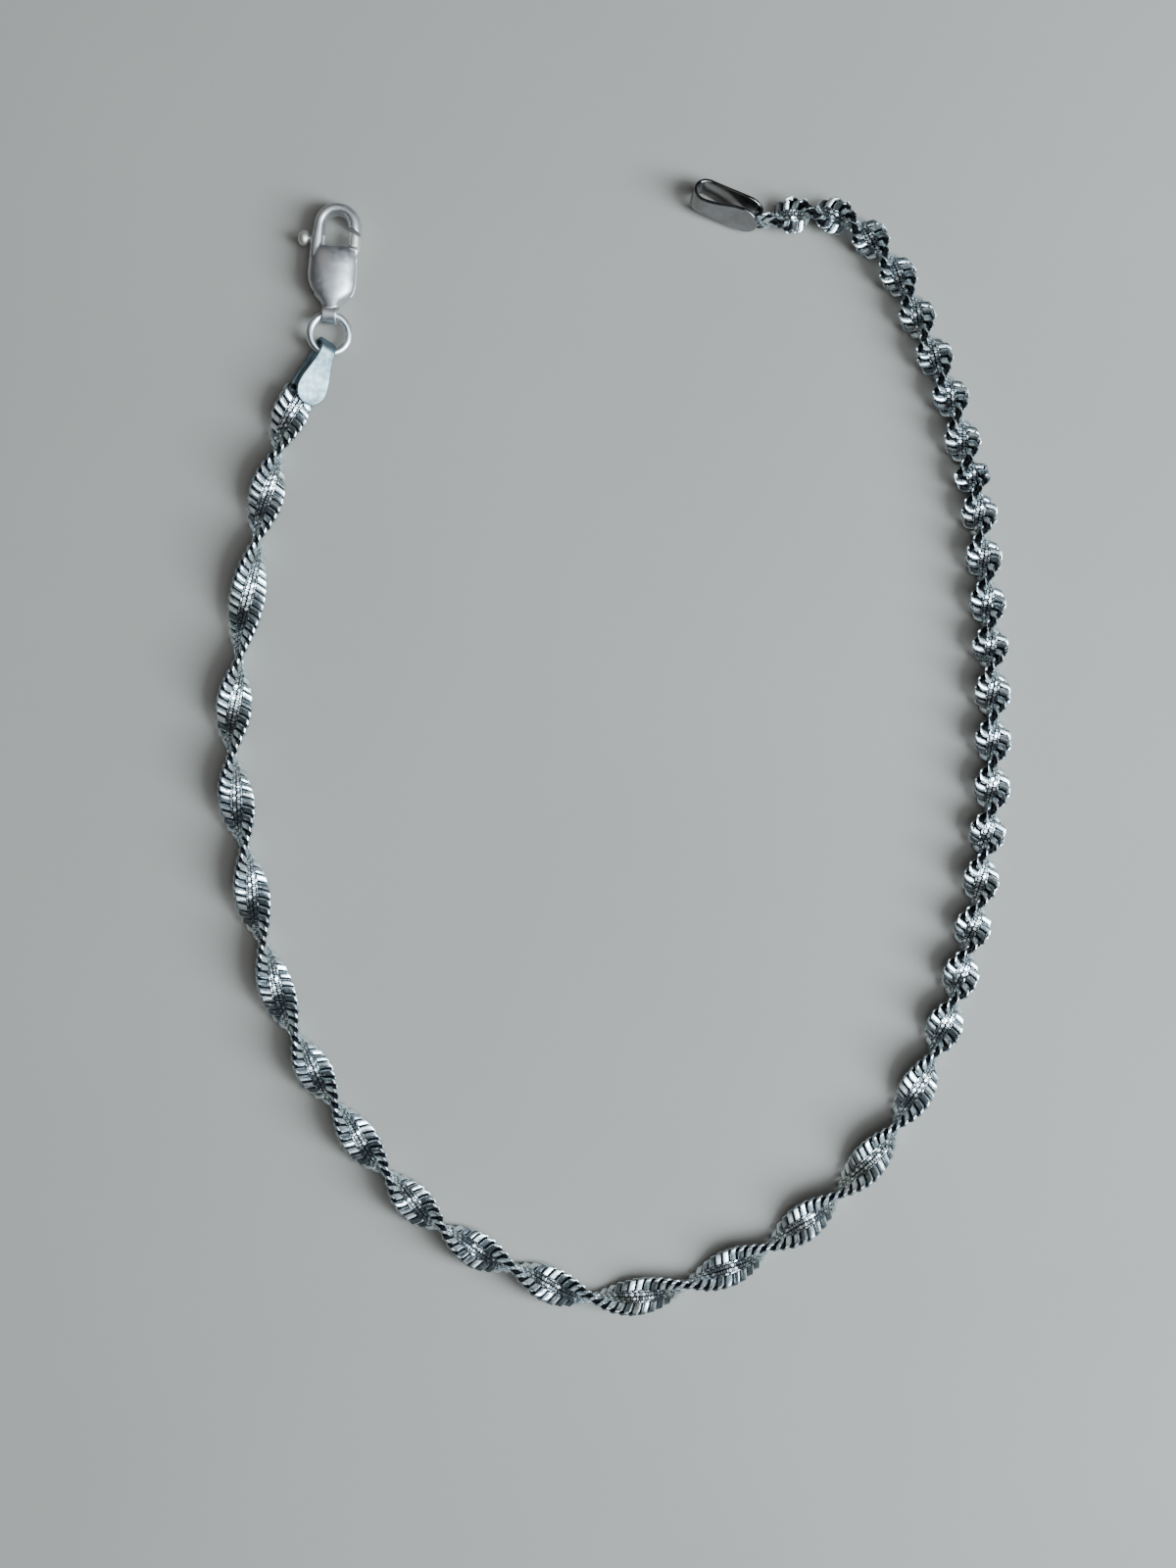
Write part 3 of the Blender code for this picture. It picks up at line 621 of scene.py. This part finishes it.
def ringMesh(look):
    # Torus: a circle of the wire's radius carried round a circle, then tilted and put at the
    # middle of the CAD ring.
    big = np.linspace(0, 2 * np.pi, look["around"], endpoint=False)[:, None]
    small = np.linspace(0, 2 * np.pi, look["sides"], endpoint=False)
    out = look["radius"] + look["wire"] * np.cos(small)
    points = np.stack(np.broadcast_arrays(out * np.cos(big), out * np.sin(big),
                                          look["wire"] * np.sin(small)), -1)
    lean = turnAbout(level(look["towardsClasp"] - 90), look["rise"]) @ turnAbout(
        level(look["towardsClasp"]), look["tilt"])
    low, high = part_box("jump_ring")
    points = points @ lean.T + np.array((low + high) / 2)
    ring, side = np.meshgrid(np.arange(look["around"]), np.arange(look["sides"]), indexing="ij")
    nextRing, nextSide = (ring + 1) % look["around"], (side + 1) % look["sides"]
    quads = np.stack([ring * look["sides"] + side, nextRing * look["sides"] + side,
                      nextRing * look["sides"] + nextSide, ring * look["sides"] + nextSide], -1)
    return makeObject("ring", points.reshape(-1, 3), quads.reshape(-1, 4).tolist())


dress(ringMesh(ringLook), silver("ring_silver", ringFinish), "bracelet", "ring_silver",
      "jump_ring")
print("jump ring made")


# Clasp

# Lengths in millimetres: the clasp is made at this size and then shrunk, because Blender's
# remesh has a smallest voxel of 0.1 mm in metres.
clasp = dict(
    place=(-19.3194, 29.5522), angle=-5.0, middle=1.10,
    bodyStart=0.30, bodyEnd=4.55, halfWidth=1.70, squareness=2.4, bodyRings=60, bodySides=64,
    neckWidth=1.00, neckHole=1.021, neckWall=0.20,
    slotWidth=0.90, slotStart=1.30, slotEnd=5.45, slotReach=3.4,
    hookTop=7.56, hookSpan=2.40, hookRoot=3.70, hookTip=5.74, hookBar=0.76, rootBar=0.92,
    tipBar=0.90, hookDepth=1.62, tipSlope=0.50, riseSteps=16, overSteps=49,
    barSquareness=2.5, barSides=32, voxel=0.040, smoothing=12)
# Columns: place along the body, half width, shift to the right, half thickness.
claspSections = np.array([
    (0.00, 0.30, 0.00, 0.56), (0.05, 0.35, 0.01, 0.66), (0.11, 0.46, 0.02, 0.75),
    (0.18, 0.64, 0.03, 0.83), (0.28, 0.85, 0.02, 0.90), (0.40, 0.97, -0.02, 0.96),
    (0.55, 1.00, -0.05, 1.00), (0.75, 1.00, -0.05, 0.99), (0.86, 0.99, -0.05, 0.93),
    (0.95, 0.96, -0.05, 0.83), (1.00, 0.90, -0.05, 0.74)])
lever = dict(
    pivot=3.35, pinRadius=0.30, pinClearance=0.05, play=0.10, boss=1.34, arm=0.50, gateWidth=0.78,
    gateDepth=1.30, gateGap=0.25, knobWidth=0.86, knobLength=1.08, knobOffset=2.20, knobUp=5.04,
    knobRings=24, knobSides=32, poleGap=0.02, boreLength=2.0, voxel=0.034, smoothing=6)


def oval(halfWidth, halfDepth, sides, squareness):
    # Superellipse: |x/w|^q + |y/d|^q = 1.
    x, y = superCircle(2 * np.pi * (np.arange(sides) + 0.5) / sides, 2 / squareness)
    return halfWidth * x, halfDepth * y


def solid(name, rings):
    # One closed object through rings[ring, side].
    return joined(name, [tubes(rings[None])], None)


def bar(name, path, widths, depths, middle, endSlope):
    # Oval carried along a plane path, its last ring sheared by endSlope.
    tangent = np.gradient(path, axis=0)
    tangent /= np.linalg.norm(tangent, axis=1)[:, None]
    normal = np.stack([-tangent[:, 1], tangent[:, 0]], -1)
    x, y = oval(0.5, 0.5, clasp["barSides"], clasp["barSquareness"])
    across, through = widths[:, None] * x, depths[:, None] * y
    flat = path[:, None] + across[..., None] * normal[:, None]
    flat[-1] += (across[-1] * endSlope)[:, None] * tangent[-1]
    return solid(name, np.concatenate([flat, (middle + through)[..., None]], -1))


def cylinder(name, radius, length, centre, axis, sides=64):
    # Circle carried along one axis.
    angle = np.linspace(0, 2 * np.pi, sides, endpoint=False)
    rings = np.zeros((2, sides, 3))
    rings[..., (axis + 1) % 3] = radius * np.cos(angle)
    rings[..., (axis + 2) % 3] = radius * np.sin(angle)
    rings[..., axis] = np.array([-length / 2, length / 2])[:, None]
    return solid(name, rings + np.array(centre))


def carve(target, steps):
    # Joins each tool to the target or cuts it out, one after the other.
    for tool, operation in steps:
        modifier = target.modifiers.new(tool.name, "BOOLEAN")
        modifier.object, modifier.operation, modifier.solver = tool, operation, "EXACT"


def cast(target, tools, voxel, smoothing, matrix):
    # Booleans made real, edges softened by a voxel remesh and smoothing, then put in place.
    remesh = target.modifiers.new("remesh", "REMESH")
    remesh.mode, remesh.voxel_size = "VOXEL", voxel
    soft = target.modifiers.new("soft", "SMOOTH")
    soft.factor, soft.iterations = 0.5, smoothing
    made = target.evaluated_get(bpy.context.evaluated_depsgraph_get())
    mesh = bpy.data.meshes.new_from_object(made)
    target.modifiers.clear()
    target.data = mesh
    mesh.transform(matrix @ Matrix.Scale(mm, 4))
    mesh.shade_smooth()
    for tool in tools:
        bpy.data.objects.remove(tool)
    return target


def hookPath():
    # Up from the root, round a half circle and down to the tip, and the width at each point.
    radius = clasp["hookSpan"] / 2
    top = clasp["hookTop"] - clasp["hookBar"] / 2 - radius
    rise = np.linspace(clasp["hookRoot"], top, clasp["riseSteps"])[:-1]
    riseWidth = clasp["hookBar"] + (clasp["rootBar"] - clasp["hookBar"]) * (
        1 - smoothStep(2 * np.linspace(0, 1, clasp["riseSteps"])[:-1] - 1))
    angle = np.radians(np.linspace(180, 0, clasp["overSteps"]))
    over = np.stack([radius * np.cos(angle), top + radius * np.sin(angle)], -1)
    up = np.stack([-radius - (riseWidth - clasp["hookBar"]) / 2, rise], -1)
    path = np.concatenate([up, over, [(radius, clasp["hookTip"])]])
    return path, np.concatenate([riseWidth,
                                 np.linspace(clasp["hookBar"], clasp["tipBar"], len(over) + 1)])


def claspBody(matrix):
    # Oval carried up the body, its half width, shift and half thickness a smooth curve through
    # the sections; plus the hook, minus the lever's slot, plus the neck, minus its bore.
    length = clasp["bodyEnd"] - clasp["bodyStart"]
    places = np.linspace(0, 1, clasp["bodyRings"])
    table = hermite(places, claspSections[:, 0], claspSections[:, 1:])
    x, y = oval(1.0, 1.0, clasp["bodySides"], clasp["squareness"])
    across = table[:, :1] * clasp["halfWidth"] * x + table[:, 1:2] * clasp["halfWidth"]
    through = clasp["middle"] * np.minimum(table[:, 2:3], 1.0) * y + clasp["middle"]
    up = np.broadcast_to((clasp["bodyStart"] + places * length)[:, None], across.shape)
    body = solid("clasp", np.stack([across, up, through], -1))

    wide, slotTop = clasp["slotReach"], clasp["bodyEnd"] + lever["play"]
    left = -clasp["hookSpan"] / 4
    outline = np.array([(-wide, clasp["slotStart"]), (wide, clasp["slotStart"]), (wide, slotTop),
                        (left, slotTop), (left, clasp["slotEnd"]), (-wide, clasp["slotEnd"])])
    heights = clasp["middle"] + clasp["slotWidth"] * np.array([-0.5, 0.5])
    slot = solid("slot", np.stack([np.column_stack([outline, np.full(6, h)]) for h in heights]))
    path, widths = hookPath()
    hook = bar("hook", path, widths, np.full(len(path), clasp["hookDepth"]), clasp["middle"],
               clasp["tipSlope"])
    centre = (0, 0, clasp["middle"])
    neck = cylinder("neck", clasp["neckHole"] / 2 + clasp["neckWall"], clasp["neckWidth"],
                    centre, 0)
    bore = cylinder("bore", clasp["neckHole"] / 2, 2 * clasp["neckWidth"], centre, 0)
    carve(body, [(hook, "UNION"), (slot, "DIFFERENCE"), (neck, "UNION"), (bore, "DIFFERENCE")])
    return cast(body, [hook, slot, neck, bore], clasp["voxel"], clasp["smoothing"], matrix)


def leverMesh(matrix):
    # Bar along the stations from the knob past the pivot to the gate's end; plus the knob, an
    # ellipsoid (sine a x cosine b, -cosine a, sine a x sine b); minus the pin's bore.
    rise = lever["knobUp"] - lever["pivot"]
    gateSide = (clasp["hookSpan"] + clasp["tipBar"] - lever["gateWidth"]) / 2
    gateTop = clasp["hookTip"] - lever["gateGap"] - lever["pivot"]
    shoulder = clasp["bodyEnd"] - lever["pivot"]
    flat = clasp["slotWidth"] - 2 * lever["play"]
    arm, boss, offset = lever["arm"], lever["boss"], lever["knobOffset"]
    # Columns: to the right, up, width, depth.
    stations = np.array([
        (-offset, rise, arm, flat), (-0.84 * offset, rise, arm, flat),
        (-0.68 * offset, 0.92 * rise, arm, flat), (-0.56 * offset, 0.67 * rise, arm, flat),
        (-0.33 * offset, 0.27 * rise, 0.6 * boss, flat), (0, 0, boss, flat),
        (0.48 * gateSide, 0.25 * shoulder, 0.7 * boss, flat),
        (0.86 * gateSide, 0.66 * shoulder, lever["gateWidth"], flat),
        (gateSide, shoulder, lever["gateWidth"], flat),
        (gateSide, shoulder + 0.10 * (gateTop - shoulder), lever["gateWidth"], lever["gateDepth"]),
        (gateSide, gateTop, lever["gateWidth"], lever["gateDepth"])])
    made = bar("lever", stations[:, :2], stations[:, 2], stations[:, 3], 0.0, clasp["tipSlope"])
    angle = np.linspace(lever["poleGap"], np.pi - lever["poleGap"], lever["knobRings"])
    around = np.linspace(0, 2 * np.pi, lever["knobSides"], endpoint=False)
    knobRings = np.stack(np.broadcast_arrays(
        np.sin(angle)[:, None] * np.cos(around) * lever["knobWidth"] / 2 - offset,
        -np.cos(angle)[:, None] * lever["knobLength"] / 2 + rise,
        np.sin(angle)[:, None] * np.sin(around) * lever["knobWidth"] / 2), -1)
    knob = solid("knob", knobRings)
    bore = cylinder("bore", lever["pinRadius"] + lever["pinClearance"], lever["boreLength"],
                    (0, 0, 0), 2)
    carve(made, [(knob, "UNION"), (bore, "DIFFERENCE")])
    return cast(made, [knob, bore], lever["voxel"], lever["smoothing"], matrix)


claspFrame = Matrix.Translation((clasp["place"][0] * mm, clasp["place"][1] * mm, 0)) \
    @ Matrix.Rotation(math.radians(clasp["angle"]), 4, "Z")
pivotFrame = claspFrame @ Matrix.Translation((0, lever["pivot"] * mm, clasp["middle"] * mm))
dress(claspBody(claspFrame), silver("clasp_silver", satinLook), "bracelet", "clasp_silver",
      "clasp_body")
dress(leverMesh(pivotFrame), silver("lever_silver", warmLook), "lever", "lever_silver",
      "clasp_lever")
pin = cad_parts["lever_pin"]
pin.data.materials.clear()
pin.data.materials.append(silver("pin_silver", warmLook))
print("clasp and lever made")


# Stage

floorLook = dict(size=1.2, colour=(0.34, 0.315, 0.285), darker=0.96, cloud=30 * mm,
                 cloudDetail=5.0, cloudRange=(0.35, 0.65), grain=0.6 * mm, grainDetail=3.0,
                 rough=0.7, reliefHeight=0.02 * mm, bump=0.1)
stage = dict(worldColour=(0.62, 0.68, 0.76), worldStrength=0.04,
             cameraPlace=(-1.716 * mm, -2.477 * mm, 162 * mm), lens=54.16, sensorWidth=36.0,
             nearest=0.005, farthest=10.0)
# The key is a tall soft window to the right of the picture and a little below it.
lamps = dict(
    key=dict(place=(0.255, -0.07, 0.22), wide=0.14, tall=0.26, power=3.1,
             colour=(0.76, 0.91, 1.0)),
    sky=dict(place=(0.09, -0.03, 0.36), wide=0.22, tall=0.22, power=0.6,
             colour=(0.84, 0.94, 1.0)),
    fill=dict(place=(-0.20, 0.25, 0.40), wide=0.30, tall=0.30, power=0.12,
              colour=(1.0, 0.95, 0.90)))


def floorMaterial(name, look):
    # Plain pale paint: the colour blends to one slightly darker by soft clouds.
    material, tree, shader = newMaterial(name)
    place = node(tree, "ShaderNodeTexCoord").outputs["Object"]
    cloud = noise(tree, place, look["cloud"], look["cloudDetail"])
    grain = noise(tree, place, look["grain"], look["grainDetail"])
    base = blendColour(tree, remap(tree, cloud, *look["cloudRange"], 0.0, 1.0), look["colour"],
                       tuple(look["darker"] * c for c in look["colour"]))
    tree.links.new(base, shader.inputs["Base Color"])
    shader.inputs["Roughness"].default_value = look["rough"]
    bump = node(tree, "ShaderNodeBump", {"Height": grain, "Distance": look["reliefHeight"],
                                         "Strength": look["bump"]})
    tree.links.new(bump.outputs[0], shader.inputs["Normal"])
    return material


half = floorLook["size"] / 2
corners = np.array([(-half, -half, 0), (half, -half, 0), (half, half, 0), (-half, half, 0)])
floor = makeObject("floor", corners, [[0, 1, 2, 3]])
floor.data.materials.append(floorMaterial("floor_pale", floorLook))

for lampName, lamp in lamps.items():
    data = bpy.data.lights.new(lampName, "AREA")
    data.shape = "RECTANGLE"
    data.size, data.size_y = lamp["wide"], lamp["tall"]
    data.energy, data.color = lamp["power"], lamp["colour"]
    obj = bpy.data.objects.new(lampName, data)
    obj.location = lamp["place"]
    obj.rotation_euler = (-Vector(lamp["place"])).to_track_quat("-Z", "Y").to_euler()
    bpy.context.scene.collection.objects.link(obj)

world = bpy.data.worlds.new("studio")
world.use_nodes = True
background = world.node_tree.nodes["Background"]
background.inputs["Color"].default_value = (*stage["worldColour"], 1)
background.inputs["Strength"].default_value = stage["worldStrength"]
bpy.context.scene.world = world

camera = bpy.data.objects.new("camera", bpy.data.cameras.new("camera"))
camera.location = stage["cameraPlace"]
camera.data.lens = stage["lens"]
camera.data.sensor_width = stage["sensorWidth"]
camera.data.clip_start, camera.data.clip_end = stage["nearest"], stage["farthest"]
bpy.context.scene.collection.objects.link(camera)
bpy.context.scene.camera = camera
print("stage set")
